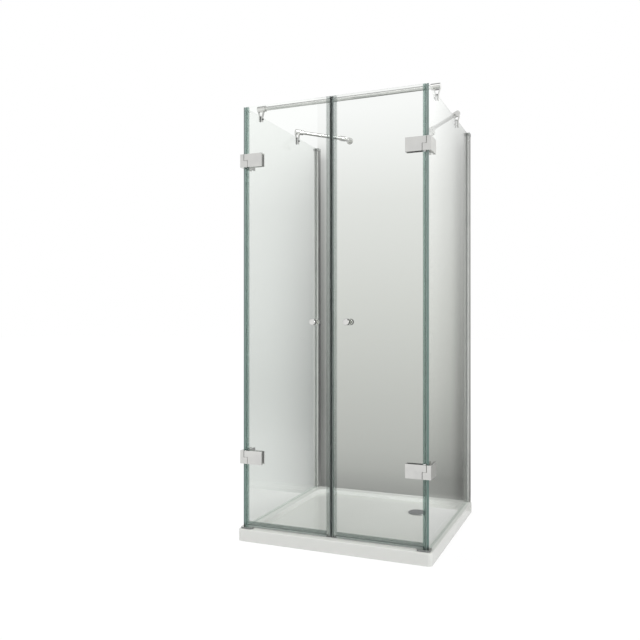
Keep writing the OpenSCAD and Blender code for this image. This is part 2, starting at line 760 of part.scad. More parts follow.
module door_glass() {
  color([0.75, 0.86, 0.84, 0.45]) difference() {
    translate([meeting_x, front_y, door_z]) cube([door_edge_x - meeting_x, glass_t, glass_top - door_z]);
    for (z = hinge_zs) translate([door_notch_x, front_y - cut, z - hinge_zone / 2])
      cube([door_edge_x, glass_t + 2 * cut, hinge_zone]);
    for (z = screw_zs) translate([door_screw_x, front_y - cut, z]) rotate([-90, 0, 0])
      cylinder(d = glass_hole_d, h = glass_t + 2 * cut);
    translate([knob_x, front_y - cut, knob_z]) rotate([-90, 0, 0])
      cylinder(d = knob_hole_d, h = glass_t + 2 * cut);
  }
}

seal_y0 = front_y - seal_fit - seal_t;
seal_w = glass_t + 2 * seal_fit + 2 * seal_t;
magnet_w = meeting_x - seal_fit - seal_t - magnet_gap / 2 - seal_t;

// The magnetic seal clips over the pane's edge and holds the magnet in its nose
module magnet_seal() {
  nose = meeting_x - seal_fit - magnet_gap / 2;
  color([0.62, 0.66, 0.65]) translate([magnet_gap / 2, seal_y0, door_seal_z])
    linear_extrude(glass_top - door_seal_z) difference() {
      square([nose + magnet_leg, seal_w]);
      translate([nose, seal_t]) square([magnet_leg + cut, glass_t + 2 * seal_fit]);
      translate([seal_t, seal_t]) square([magnet_w, seal_w - 2 * seal_t]);
    }
}

module magnet_strip() {
  color([0.1, 0.12, 0.12])
    translate([magnet_gap / 2 + seal_t + seal_fit, seal_y0 + seal_t + seal_fit, door_seal_z + 2])
      cube([magnet_w - 2 * seal_fit, seal_w - 2 * seal_t - 2 * seal_fit, glass_top - door_seal_z - 4]);
}

// The hinge-side seal clips over the other edge, with a fin towards the side pane
module hinge_seal() {
  web_x = door_edge_x + seal_fit;
  fin_x = glass_in_x - fin_gap;
  tops = [hinge_zs[0] - hinge_zone / 2, hinge_zs[1] - hinge_zone / 2, glass_top];
  starts = [door_seal_z, hinge_zs[0] + hinge_zone / 2, hinge_zs[1] + hinge_zone / 2];
  color([0.82, 0.86, 0.85]) for (i = [0:2]) translate([0, 0, starts[i]])
    linear_extrude(tops[i] - starts[i]) {
      difference() {
        translate([door_edge_x - hinge_leg, seal_y0])
          square([web_x + seal_t - door_edge_x + hinge_leg, seal_w]);
        translate([door_edge_x - hinge_leg - cut, seal_y0 + seal_t])
          square([web_x - door_edge_x + hinge_leg + cut, glass_t + 2 * seal_fit]);
      }
      translate([web_x, front_y + glass_t / 2 - seal_t / 2]) square([fin_x - web_x, seal_t]);
    }
}

// The bottom seal clips under the pane and ends in a drip lip
module bottom_seal() {
  x0 = meeting_x + magnet_leg + seal_fit;
  x1 = door_edge_x - hinge_leg - seal_fit;
  slot_z = door_z - seal_fit;
  color([0.46, 0.5, 0.48]) translate([x0, 0, 0]) rotate([90, 0, 90]) linear_extrude(x1 - x0) difference() {
    translate([seal_y0, door_seal_z]) square([seal_w, door_z + bottom_leg - door_seal_z]);
    translate([seal_y0 + seal_t, slot_z]) square([glass_t + 2 * seal_fit, bottom_leg + 1]);
    translate([seal_y0 + seal_t, door_seal_z - cut])
      square([glass_t + 2 * seal_fit, slot_z - seal_t - door_seal_z + cut]);
  }
}

// One knob, drawn along +Z from the washer
module knob() {
  r = knob_d / 2;
  difference() {
    rotate_extrude() {
      square([knob_neck_d / 2, knob_neck_l + knob_edge_r]);
      translate([0, knob_neck_l]) square([r - knob_edge_r, knob_l - knob_neck_l]);
      translate([0, knob_neck_l + knob_edge_r]) square([r, knob_l - knob_neck_l - 2 * knob_edge_r]);
      for (z = [knob_neck_l + knob_edge_r, knob_l - knob_edge_r])
        translate([r - knob_edge_r, z]) circle(knob_edge_r);
    }
    translate([0, 0, -cut]) cylinder(d = knob_stud_d + 2 * seal_fit, h = knob_thread + cut + seal_fit);
  }
}

// Puts children on both faces of the pane at the knob, turned outwards
module on_knob_faces() {
  translate([knob_x, front_y, knob_z]) rotate([90, 0, 0]) children();
  translate([knob_x, door_back_y, knob_z]) rotate([-90, 0, 0]) children();
}

module knobs() color([0.8, 0.8, 0.82]) on_knob_faces() translate([0, 0, knob_washer_t]) knob();

module knob_washers() {
  color([0.9, 0.9, 0.9]) on_knob_faces() ring(knob_neck_d + 3, knob_stud_d + 1, knob_washer_t);
}

module knob_stud() {
  l = glass_t + 2 * knob_washer_t + 2 * knob_thread;
  color([0.6, 0.6, 0.62]) translate([knob_x, front_y + glass_t / 2, knob_z]) rotate([90, 0, 0])
    cylinder(d = knob_stud_d, h = l, center = true);
}

// Hinges

// Plan of a knuckle: the part of the leaf's thickness that lies within the knuckle's radius
module knuckle_plan() {
  intersection() {
    translate([pin_x, pin_y]) circle(knuckle_r);
    translate([pin_x - knuckle_r, leaf_front_y]) square([2 * knuckle_r, leaf_t]);
  }
}

module pin_bore(z, clearance) {
  translate([pin_x, pin_y, z - leaf_h]) cylinder(r = pin_d / 2 + clearance, h = 2 * leaf_h);
}

// Blind holes for the screws in the back of an outer leaf, drawn along +Z from the pane's face
module screw_pocket() cylinder(d = hinge_screw_d + 2 * screw_fit, h = gasket_t + screw_bite);

module door_leaves() {
  upper = leaf_h / 2 - seam_gap / 2;
  color([0.82, 0.82, 0.83]) for (z = hinge_zs) difference() {
    union() {
      translate([door_leaf_end_x, leaf_front_y, z - leaf_h / 2])
        cube([door_leaf_root_x - door_leaf_end_x, leaf_t, leaf_h]);
      translate([door_leaf_end_x, leaf_front_y, z + seam_gap / 2])
        cube([pin_x - door_leaf_end_x, leaf_t, upper]);
      translate([0, 0, z + seam_gap / 2]) linear_extrude(upper) knuckle_plan();
    }
    pin_bore(z, pin_clearance);
    for (s = [-1, 1]) translate([door_screw_x, front_y, z + s * hinge_screw_pitch / 2])
      rotate([90, 0, 0]) screw_pocket();
  }
}

module panel_leaves() {
  lower = leaf_h / 2 - seam_gap / 2;
  corner_x = pin_x + knuckle_r + leaf_gap;
  color([0.8, 0.8, 0.82]) for (z = hinge_zs) difference() {
    union() {
      translate([panel_plate_x, leaf_front_y, z - leaf_h / 2]) cube([leaf_t, panel_leaf_l, leaf_h]);
      translate([corner_x, leaf_front_y, z - leaf_h / 2])
        cube([panel_plate_x + 1 - corner_x, leaf_t, leaf_h]);
      translate([pin_x, leaf_front_y, z - leaf_h / 2]) cube([panel_plate_x - pin_x, leaf_t, lower]);
      translate([0, 0, z - leaf_h / 2]) linear_extrude(lower) knuckle_plan();
    }
    pin_bore(z, pin_seat);
    for (s = [-1, 1]) translate([glass_out_x, panel_screw_y, z + s * hinge_screw_pitch / 2])
      rotate([0, 90, 0]) screw_pocket();
  }
}

// A clamp plate, drawn from its pane-side face along +Z, with countersunk holes at y = 0
module clamp_plate(w, screw_from_end) {
  difference() {
    translate([-screw_from_end, -leaf_h / 2, 0]) cube([w, leaf_h, clamp_plate_t]);
    for (s = [-1, 1]) translate([0, s * hinge_screw_pitch / 2, -cut]) {
      cylinder(d = hinge_screw_d + 2 * screw_fit, h = clamp_plate_t + 2 * cut);
      translate([0, 0, cut + clamp_plate_t - hinge_screw_head_h])
        cylinder(
          d1 = hinge_screw_d + 2 * screw_fit, d2 = hinge_screw_head_d + 2 * screw_fit, h = hinge_screw_head_h
        );
      translate([0, 0, cut + clamp_plate_t]) cylinder(d = hinge_screw_head_d + 2 * screw_fit, h = cut);
    }
  }
}

// The two screws of a leaf, drawn from the clamp plate's pane-side face
module leaf_screws() {
  through = glass_t + 2 * gasket_t;
  for (s = [-1, 1]) translate([0, s * hinge_screw_pitch / 2, 0]) {
    translate([0, 0, -through - screw_bite + 0.5])
      cylinder(d = hinge_screw_d, h = through + screw_bite - 0.5 + clamp_plate_t - hinge_screw_head_h);
    translate([0, 0, clamp_plate_t - hinge_screw_head_h])
      cylinder(d1 = hinge_screw_d, d2 = hinge_screw_head_d, h = hinge_screw_head_h);
  }
}

// A pair of gaskets, one on each face of the pane, drawn round the screws
module leaf_gaskets(w, screw_from_end) {
  for (z = [-glass_t - 2 * gasket_t, -gasket_t]) translate([0, 0, z]) difference() {
    translate([-screw_from_end + gasket_inset, -leaf_h / 2 + gasket_inset, 0])
      cube([w - 2 * gasket_inset, leaf_h - 2 * gasket_inset, gasket_t]);
    for (s = [-1, 1]) translate([0, s * hinge_screw_pitch / 2, -cut])
      cylinder(d = hinge_screw_d + 2 * screw_fit, h = gasket_t + 2 * cut);
  }
}

door_plate_w = door_notch_x - door_leaf_end_x;
panel_plate_w = panel_leaf_end_y - panel_plate_front_y;

// Puts a flat piece on the door pane's inner face, its X along the door
module on_door() {
  for (z = hinge_zs) translate([door_screw_x, door_back_y + gasket_t, z])
    multmatrix([[1, 0, 0, 0], [0, 0, 1, 0], [0, 1, 0, 0]]) children();
}

// Puts a flat piece on the side pane's inner face, its X along the pane from the wall side
module on_panel() {
  for (z = hinge_zs) translate([glass_in_x - gasket_t, panel_screw_y, z])
    multmatrix([[0, 0, -1, 0], [-1, 0, 0, 0], [0, 1, 0, 0]]) children();
}

module door_clamp_plates() color([0.8, 0.8, 0.82]) on_door() clamp_plate(door_plate_w, hinge_screw_inset);

module panel_clamp_plates() {
  color([0.8, 0.8, 0.82]) both() on_panel() clamp_plate(panel_plate_w, hinge_screw_inset);
}

module door_gaskets() color([0.1, 0.1, 0.1]) on_door() leaf_gaskets(door_plate_w, hinge_screw_inset);

module panel_gaskets() {
  color([0.1, 0.1, 0.1]) both() on_panel() leaf_gaskets(panel_plate_w, hinge_screw_inset);
}

module door_screws() color([0.7, 0.7, 0.7]) on_door() leaf_screws();

module panel_screws() color([0.7, 0.7, 0.7]) both() on_panel() leaf_screws();

module hinge_pins() {
  color([0.65, 0.65, 0.67]) both() for (z = hinge_zs)
    translate([pin_x, pin_y, z - pin_l / 2]) cylinder(d = pin_d, h = pin_l);
}

module hinge_washers() {
  color([0.9, 0.9, 0.9]) both() for (z = hinge_zs)
    translate([pin_x, pin_y, z - seam_gap / 2])
      ring(leaf_t - 1, pin_d + 2 * screw_fit, hinge_washer_t);
}

shower_tray();
waste_gasket();
waste_body();
waste_nut();
drain_cover();
left() side_panel();  // left_side_panel
side_panel();  // right_side_panel
panel_bottom_seals();
panel_feet();
threshold_rail();
left() wall_profile();  // left_wall_profile
wall_profile();  // right_wall_profile
left() adjusting_profile();  // left_adjusting_profile
adjusting_profile();  // right_adjusting_profile
profile_caps();
panel_edge_seals();
profile_screws();
front_bar();
bar_clamps();
left() brace_tube();  // left_brace_tube
brace_tube();  // right_brace_tube
brace_clamps();
clamp_liners();
clamp_screws();
brace_ends();
wall_rosettes();
swivel_pins();
set_screws();
left() door_glass();  // left_door_glass
door_glass();  // right_door_glass
left() magnet_seal();  // left_magnet_seal
magnet_seal();  // right_magnet_seal
left() magnet_strip();  // left_magnet_strip
magnet_strip();  // right_magnet_strip
left() bottom_seal();  // left_bottom_seal
bottom_seal();  // right_bottom_seal
left() hinge_seal();  // left_hinge_seal
hinge_seal();  // right_hinge_seal
left() knobs();  // left_knobs
knobs();  // right_knobs
left() knob_stud();  // left_knob_stud
knob_stud();  // right_knob_stud
left() knob_washers();  // left_knob_washers
knob_washers();  // right_knob_washers
left() panel_leaves();  // left_panel_leaves
panel_leaves();  // right_panel_leaves
panel_clamp_plates();
panel_gaskets();
panel_screws();
hinge_pins();
hinge_washers();
left() door_leaves();  // left_door_leaves
door_leaves();  // right_door_leaves
left() door_clamp_plates();  // left_door_clamp_plates
door_clamp_plates();  // right_door_clamp_plates
left() door_gaskets();  // left_door_gaskets
door_gaskets();  // right_door_gaskets
left() door_screws();  // left_door_screws
door_screws();  // right_door_screws
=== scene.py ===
import json
import math

import bmesh
import bpy
from mathutils import Matrix, Vector


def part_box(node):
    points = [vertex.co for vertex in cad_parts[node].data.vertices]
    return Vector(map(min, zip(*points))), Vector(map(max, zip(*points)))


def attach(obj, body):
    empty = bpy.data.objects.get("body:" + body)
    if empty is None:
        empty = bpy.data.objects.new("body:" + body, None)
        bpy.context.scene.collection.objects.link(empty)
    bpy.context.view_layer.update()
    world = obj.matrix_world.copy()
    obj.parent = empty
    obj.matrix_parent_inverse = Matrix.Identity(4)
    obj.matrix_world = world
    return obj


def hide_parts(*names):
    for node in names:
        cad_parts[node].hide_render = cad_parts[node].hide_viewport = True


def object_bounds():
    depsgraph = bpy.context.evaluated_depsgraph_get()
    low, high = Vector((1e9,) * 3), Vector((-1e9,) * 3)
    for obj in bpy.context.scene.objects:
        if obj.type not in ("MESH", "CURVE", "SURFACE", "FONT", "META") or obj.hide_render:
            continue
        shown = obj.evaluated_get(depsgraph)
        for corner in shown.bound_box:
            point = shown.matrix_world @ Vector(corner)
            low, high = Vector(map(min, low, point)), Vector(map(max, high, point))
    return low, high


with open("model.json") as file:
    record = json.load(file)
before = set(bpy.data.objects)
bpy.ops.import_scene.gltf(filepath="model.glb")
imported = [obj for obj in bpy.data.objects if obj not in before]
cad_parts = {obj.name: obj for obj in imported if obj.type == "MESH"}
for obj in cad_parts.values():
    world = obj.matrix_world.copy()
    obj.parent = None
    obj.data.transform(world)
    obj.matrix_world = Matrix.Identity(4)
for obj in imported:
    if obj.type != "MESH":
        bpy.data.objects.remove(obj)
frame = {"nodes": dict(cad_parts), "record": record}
cad_lo, cad_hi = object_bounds()

MM = 0.001
NODES = frame["nodes"]
BODY_OF = {n: body for body, nodes in frame["record"]["behaviour"]["bodies"].items() for n in nodes}
SIDES = ("left", "right")
scene = bpy.context.scene
scene.view_settings.view_transform = "Standard"
# A ray meets up to four panes with their seals, two faces for each wall
scene.cycles.transparent_max_bounces = 32

# Places on the CAD solids, in millimetres
BASIN_RIM_Z = 54.9          # just under the tray's rim
BASIN_RIM_REACH = 400       # the basin's opening, from the middle
BASIN_WALL_FOOT_Z = 37.2    # where the cove turns into the basin's wall
BASIN_WALL_REACH = 395
SWEEP_FOOT_Z = 70.2         # top of the hollow foot under a door's seal
FIN_X = 418.6               # just past the doors' hinge-side edges
PANE_HEAD_Z = 1900          # above it only the panes' top edges lie
PANE_FOOT_Z = 100           # below it only the side panes' bottom edges lie
# The side panes' green strip behind the front edge is a painted reflection
EDGE_STRIP = 4              # how deep a side pane's front edge colours its faces
MAGNET_CORE = 5             # half the width of the dark line where the doors meet
# How deep the side panes' front edges stand in their feet, where their painted shade fades out
FOOT_CUP_Z = (66, 84)

# Camera, level, right of the doors and a little above half height
camera = bpy.data.objects.new("camera", bpy.data.cameras.new("camera"))
camera.data.lens = 39.16
camera.data.sensor_width = 36
camera.location = (1.1226, -3.2439, 1.0084)
camera.rotation_euler = (math.radians(90), 0, math.radians(22.64))
scene.collection.objects.link(camera)
scene.camera = camera


# Colours and nodes

def srgb(code):
    """An sRGB hex colour as linear RGBA."""
    parts = [int(code[i:i + 2], 16) / 255 for i in (1, 3, 5)]
    return [p / 12.92 if p <= 0.04045 else ((p + 0.055) / 1.055) ** 2.4 for p in parts] + [1.0]


def add(tree, kind, inputs=None, stops=None, **settings):
    """Adds one node: inputs are values or sockets to link, stops are a colour ramp's."""
    node = tree.nodes.new("ShaderNode" + kind)
    for key, value in settings.items():
        setattr(node, key, value)
    for key, value in (inputs or {}).items():
        if isinstance(value, bpy.types.NodeSocket):
            tree.links.new(value, node.inputs[key])
        else:
            node.inputs[key].default_value = value
    for i, (at, colour) in enumerate(stops or []):
        while len(node.color_ramp.elements) <= i:
            node.color_ramp.elements.new(at)
        node.color_ramp.elements[i].position = at
        node.color_ramp.elements[i].color = colour
    return node


def new_material(name):
    mat = bpy.data.materials.new(name)
    mat.use_nodes = True
    mat.node_tree.nodes.clear()
    return mat, mat.node_tree


def per_metre(mm):
    """A noise scale whose features are about that many millimetres wide."""
    return 1000 / mm


# Materials

def solid_finish(name, light, dark, rough, metallic=0.0, grain=(30, 30, 30), blotch=60,
                 bump_mm=0.0, ior=None, gloss=0.5):
    """A surface whose colour drifts between two close tones and whose roughness follows a finer grain.

    grain is the size of that grain along X, Y and Z, blotch the size of the drift, both in millimetres.
    gloss is the strength of a non-metal's mirror image, 0.5 for the plain one."""
    mat, tree = new_material(name)
    place = add(tree, "TexCoord").outputs["Object"]
    drift = add(tree, "TexNoise", {"Vector": place, "Scale": per_metre(blotch), "Detail": 3.0})
    stretched = add(tree, "Mapping", {"Vector": place, "Scale": [per_metre(g) for g in grain]})
    fine = add(tree, "TexNoise", {"Vector": stretched.outputs[0], "Scale": 1.0, "Detail": 4.0,
                                  "Roughness": 0.6})
    tone = add(tree, "ValToRGB", {"Fac": drift.outputs["Fac"]}, [(0.3, srgb(dark)), (0.7, srgb(light))])
    roughness = add(tree, "MapRange", {"Value": fine.outputs["Fac"], "From Min": 0.3, "From Max": 0.7,
                                       "To Min": rough[0], "To Max": rough[1]})
    shader = add(tree, "BsdfPrincipled", {"Base Color": tone.outputs[0], "Metallic": metallic,
                                          "Roughness": roughness.outputs[0], "Specular IOR Level": gloss})
    if ior:
        shader.inputs["IOR"].default_value = ior
    if bump_mm:
        bump = add(tree, "Bump", {"Height": fine.outputs["Fac"], "Distance": bump_mm * MM, "Strength": 1.0})
        tree.links.new(bump.outputs[0], shader.inputs["Normal"])
    add(tree, "OutputMaterial", {"Surface": shader.outputs[0]})
    return mat


# Vacuum-formed cast acrylic sheet, white: glossy, with a faint orange peel and hardly any drift in its tone
cast_acrylic = solid_finish("cast_acrylic", "#eeefeb", "#ebece8", (0.05, 0.11), grain=(9, 9, 9),
                            blotch=220, bump_mm=0.012, ior=1.49, gloss=1.0)
# The same sheet on the basin's wall with a painted highlight: paler and a little glossier than the rest
acrylic_painted_highlight = solid_finish("acrylic_painted_highlight", "#fbfbf9", "#f8f9f6", (0.05, 0.09), grain=(9, 9, 9),
                             blotch=220, bump_mm=0.012, ior=1.49, gloss=1.0)
# Bright chrome plating on a die-cast body: a near mirror, with faint wiping marks in its gloss
chrome_plate = solid_finish("chrome_plate", "#dfdfdc", "#d6d6d4", (0.04, 0.13), metallic=1.0,
                            grain=(25, 25, 9), blotch=45, bump_mm=0.003)
# The same plating on the feet's low sides, painted dull and dark as painted shade
plate_painted_shade = solid_finish("plate_painted_shade", "#8f9190", "#7f8180", (0.25, 0.4), metallic=1.0,
                          grain=(8, 8, 3), blotch=12, bump_mm=0.004)
# The same plating on the hinge leaves' narrow sides, which are ground, not polished: a satin that spreads
# what it mirrors
ground_plate = solid_finish("ground_plate", "#dfdfdc", "#d6d6d4", (0.38, 0.5), metallic=1.0,
                            grain=(9, 2, 9), blotch=45, bump_mm=0.003)
# Drawn tube with the same plating: the marks run along it and are longer
chrome_tube = solid_finish("chrome_tube", "#dededb", "#d3d4d2", (0.18, 0.3), metallic=1.0,
                           grain=(120, 6, 6), blotch=70, bump_mm=0.002)
# Extruded aluminium, satin anodised: fine die lines run up the profiles
anodised_profile = solid_finish("anodised_profile", "#d3d4d1", "#c8c9c7", (0.22, 0.38), metallic=1.0,
                                grain=(1.2, 1.2, 260), blotch=90, bump_mm=0.01)
# Extruded aluminium, bright anodised: paler and glossier than the wall channels, with its die lines across
# the doorway
anodised_sill = solid_finish("anodised_sill", "#e2e3e0", "#d8d9d6", (0.14, 0.26), metallic=1.0,
                             grain=(260, 1.2, 1.2), blotch=90, bump_mm=0.008)
# Moulded ABS, grey: an even satin with a fine spark-eroded texture
moulded_abs = solid_finish("moulded_abs", "#b4b7b4", "#abaeab", (0.42, 0.55), grain=(0.9, 0.9, 0.9),
                           blotch=25, bump_mm=0.02)
# Extruded EPDM rubber, black: dull, slightly chalky
epdm_rubber = solid_finish("epdm_rubber", "#2a2c2c", "#1f2121", (0.6, 0.8), grain=(1.5, 1.5, 12),
                           blotch=12, bump_mm=0.02)
# Stainless steel, turned: a soft gloss; its rings are finer than the render shows, so they are drawn coarser
turned_steel = solid_finish("turned_steel", "#c6c7c8", "#b5b7b8", (0.2, 0.34), metallic=1.0,
                            grain=(3, 3, 0.8), blotch=8, bump_mm=0.005)
# Steel with a black oxide finish: dark, oily satin
black_oxide = solid_finish("black_oxide", "#3a3c3e", "#2b2d2f", (0.3, 0.45), metallic=0.8,
                           grain=(2, 2, 2), blotch=6)
# Moulded nylon, natural white: waxy
natural_nylon = solid_finish("natural_nylon", "#e9e8e2", "#e0dfd8", (0.35, 0.5), grain=(2, 2, 2),
                             blotch=15, bump_mm=0.005, ior=1.53)
# Brass body with nickel and chrome plating, as cast inside: brighter rim, satin barrel
plated_brass = solid_finish("plated_brass", "#cfcfce", "#c0c0bf", (0.12, 0.3), metallic=1.0,
                            grain=(6, 6, 2), blotch=20, bump_mm=0.008)


def float_glass(name, colour):
    """Thin clear float glass: lamps and views pass straight through, with a faint green tint and a mirror
    image that grows towards grazing angles."""
    mat, tree = new_material(name)
    facing = add(tree, "LayerWeight", {"Blend": 0.5}).outputs["Facing"]
    fifth = add(tree, "Math", {0: facing, 1: 5.0}, operation="POWER")
    mirror = add(tree, "Math", {0: fifth.outputs[0], 1: 0.96, 2: 0.04}, operation="MULTIPLY_ADD")
    clear = add(tree, "BsdfTransparent", {"Color": srgb(colour)})
    gloss = add(tree, "BsdfGlossy", {"Color": (1, 1, 1, 1), "Roughness": 0.0})
    mix = add(tree, "MixShader", {0: mirror.outputs[0], 1: clear.outputs[0], 2: gloss.outputs[0]})
    add(tree, "OutputMaterial", {"Surface": mix.outputs[0]})
    return mat


def glass_edge(name, low, high, rough):
    """The cut edge of float glass, where the light that runs inside the pane comes out green.

    It has painted light and shade: paler near the top, where more light enters, and nearly black where it stands
    in its foot."""
    mat, tree = new_material(name)
    place = add(tree, "TexCoord").outputs["Object"]
    height = add(tree, "SeparateXYZ", {0: place}).outputs["Z"]
    # Painted light: paler towards the top
    rise = add(tree, "MapRange", {"Value": height, "From Min": 0.6, "From Max": 1.985})
    waves = add(tree, "TexNoise", {"Vector": place, "Scale": per_metre(70), "Detail": 2.0})
    blend = add(tree, "Math", {0: waves.outputs["Fac"], 1: 0.12, 2: rise.outputs[0]}, operation="MULTIPLY_ADD")
    tone = add(tree, "ValToRGB", {"Fac": blend.outputs[0]}, [(0.05, srgb(low)), (1.0, srgb(high))])
    # Painted shade where the edge stands in its foot
    deep = add(tree, "MapRange", {"Value": height, "From Min": FOOT_CUP_Z[0] * MM,
                                  "From Max": FOOT_CUP_Z[1] * MM})
    end = add(tree, "Mix", {0: deep.outputs[0], 6: srgb("#2b3633"), 7: tone.outputs[0]}, data_type="RGBA")
    shader = add(tree, "BsdfPrincipled", {"Base Color": end.outputs[2], "Roughness": rough, "IOR": 1.52})
    add(tree, "OutputMaterial", {"Surface": shader.outputs[0]})
    return mat


def soft_pvc(name, colour, cover, rough, tint=(0.96, 0.98, 0.97)):
    """Extruded soft PVC: part of what is behind shows through each wall, in its tint."""
    mat, tree = new_material(name)
    place = add(tree, "TexCoord").outputs["Object"]
    streak = add(tree, "Mapping", {"Vector": place, "Scale": [per_metre(4), per_metre(4), per_metre(300)]})
    cloudy = add(tree, "TexNoise", {"Vector": streak.outputs[0], "Scale": 1.0, "Detail": 2.0})
    amount = add(tree, "MapRange", {"Value": cloudy.outputs["Fac"], "From Min": 0.3, "From Max": 0.7,
                                    "To Min": cover - 0.04, "To Max": cover + 0.04})
    body = add(tree, "BsdfPrincipled", {"Base Color": srgb(colour), "Roughness": rough, "IOR": 1.53})
    clear = add(tree, "BsdfTransparent", {"Color": (*tint, 1)})
    mix = add(tree, "MixShader", {0: amount.outputs[0], 1: clear.outputs[0], 2: body.outputs[0]})
    add(tree, "OutputMaterial", {"Surface": mix.outputs[0]})
    return mat


def bonded_ferrite():
    """A magnetic strip of bonded ferrite: near black, dull and fine-grained, with its sleeve's pale film on the
    flanks, away from the middle of the doorway."""
    mat, tree = new_material("bonded_ferrite")
    place = add(tree, "TexCoord").outputs["Object"]
    grit = add(tree, "TexNoise", {"Vector": place, "Scale": per_metre(0.8), "Detail": 3.0})
    dark = add(tree, "ValToRGB", {"Fac": grit.outputs["Fac"]}, [(0.3, srgb("#202624")), (0.7, srgb("#282e2c"))])
    across = add(tree, "Math", {0: add(tree, "SeparateXYZ", {0: place}).outputs["X"]}, operation="ABSOLUTE")
    flank = add(tree, "Math", {0: across.outputs[0], 1: MAGNET_CORE * MM}, operation="GREATER_THAN")
    tone = add(tree, "Mix", {0: flank.outputs[0], 6: dark.outputs[0], 7: srgb("#dde2df")}, data_type="RGBA")
    shader = add(tree, "BsdfPrincipled", {"Base Color": tone.outputs[2], "Roughness": 0.62})
    add(tree, "OutputMaterial", {"Surface": shader.outputs[0]})
    return mat


def brushed_lid():
    """Stainless sheet, brushed in circles on a lathe: its gloss follows fine rings."""
    mat, tree = new_material("brushed_lid")
    place = add(tree, "TexCoord").outputs["Object"]
    middle = sum(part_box("drain_cover"), Vector()) / 2
    centred = add(tree, "VectorMath", {0: place, 1: (middle.x, middle.y, 0)}, operation="SUBTRACT")
    flat = add(tree, "VectorMath", {0: centred.outputs[0], 1: (1, 1, 0)}, operation="MULTIPLY")
    radius = add(tree, "VectorMath", {0: flat.outputs[0]}, operation="LENGTH")
    rings = add(tree, "TexNoise", {"W": radius.outputs["Value"], "Scale": per_metre(0.9), "Detail": 3.0},
                noise_dimensions="1D")
    tone = add(tree, "ValToRGB", {"Fac": rings.outputs["Fac"]},
               [(0.3, srgb("#9c9fa1")), (0.7, srgb("#b4b7b8"))])
    roughness = add(tree, "MapRange", {"Value": rings.outputs["Fac"], "From Min": 0.3, "From Max": 0.7,
                                       "To Min": 0.22, "To Max": 0.4})
    bump = add(tree, "Bump", {"Height": rings.outputs["Fac"], "Distance": 0.01 * MM, "Strength": 1.0})
    shader = add(tree, "BsdfPrincipled", {"Base Color": tone.outputs[0], "Metallic": 1.0,
                                          "Roughness": roughness.outputs[0], "Normal": bump.outputs[0]})
    add(tree, "OutputMaterial", {"Surface": shader.outputs[0]})
    return mat


glass_face = float_glass("float_glass", "#fcfdfc")
# Close beside a side pane's front edge its face shows the edge's green, a painted reflection standing in for
# inner reflection
glass_by_edge = float_glass("glass_by_edge", "#90a9a2")
# Glass edges: cut and polished on the doors, ground matt on the arrises
polished_edge = glass_edge("polished_edge", "#637a74", "#a6b0ae", 0.12)
ground_arris = glass_edge("ground_arris", "#58756e", "#93a5a2", 0.45)
# The side panes' front edges face the room, so their painted light changes them less from foot to top
front_edge = glass_edge("front_edge", "#6a867f", "#8e9e9a", 0.12)
# The doors' hinge-side edges stand in the light between the panes, so they are painted paler: painted light
lit_hinge_edge = glass_edge("lit_hinge_edge", "#9db3ad", "#d6e0dd", 0.12)
# Soft PVC: hazy under the side panes, grey under the doors, smoky and clearer round the magnets, sea green on
# the doors' hinge side
clear_pvc = soft_pvc("clear_pvc", "#dfe6e3", 0.24, 0.25)
grey_pvc = soft_pvc("grey_pvc", "#8b9491", 0.30, 0.35)
smoky_pvc = soft_pvc("smoky_pvc", "#707573", 0.11, 0.3, (0.945, 0.955, 0.952))
tinted_pvc = soft_pvc("tinted_pvc", "#667874", 0.14, 0.3, (0.855, 0.905, 0.89))
# The fin of the hinge-side seal is denser, so that the gap beside it reads as a line
dense_pvc = soft_pvc("dense_pvc", "#a8b8b3", 0.5, 0.35, (0.83, 0.89, 0.87))
# Extruded EPDM in the profiles' slots, pale grey: dull, slightly chalky
grey_epdm = solid_finish("grey_epdm", "#e6e9e6", "#dce0dc", (0.55, 0.7), grain=(1.5, 1.5, 12),
                         blotch=12, bump_mm=0.02)
# The hollow foot under a door's seal is milkier than its legs
milky_pvc = soft_pvc("milky_pvc", "#eef2f0", 0.5, 0.3)
brushed_steel_lid = brushed_lid()
magnet_strip = bonded_ferrite()


# Pieces

def node_copy(node, merge_mm):
    """The CAD node's mesh, merged, with its flat faces made whole again."""
    bm = bmesh.new()
    bm.from_mesh(NODES[node].data)
    bmesh.ops.remove_doubles(bm, verts=bm.verts, dist=merge_mm * MM)
    bmesh.ops.dissolve_limit(bm, angle_limit=math.radians(0.4), verts=bm.verts, edges=bm.edges,
                             use_dissolve_boundaries=False)
    return bm


def soften(bm, width_mm, segments, above=32, keep=None):
    """Rounds the edges that turn by more than above degrees, all or those that keep picks."""
    sharp = [e for e in bm.edges if len(e.link_faces) == 2 and e.calc_face_angle(0) > math.radians(above)]
    edges = [e for e in sharp if keep is None or keep(e)]
    if edges and width_mm:
        bmesh.ops.bevel(bm, geom=edges, offset=width_mm * MM, offset_type="OFFSET", affect="EDGES",
                        segments=segments, profile=0.5, material=-1, clamp_overlap=True)


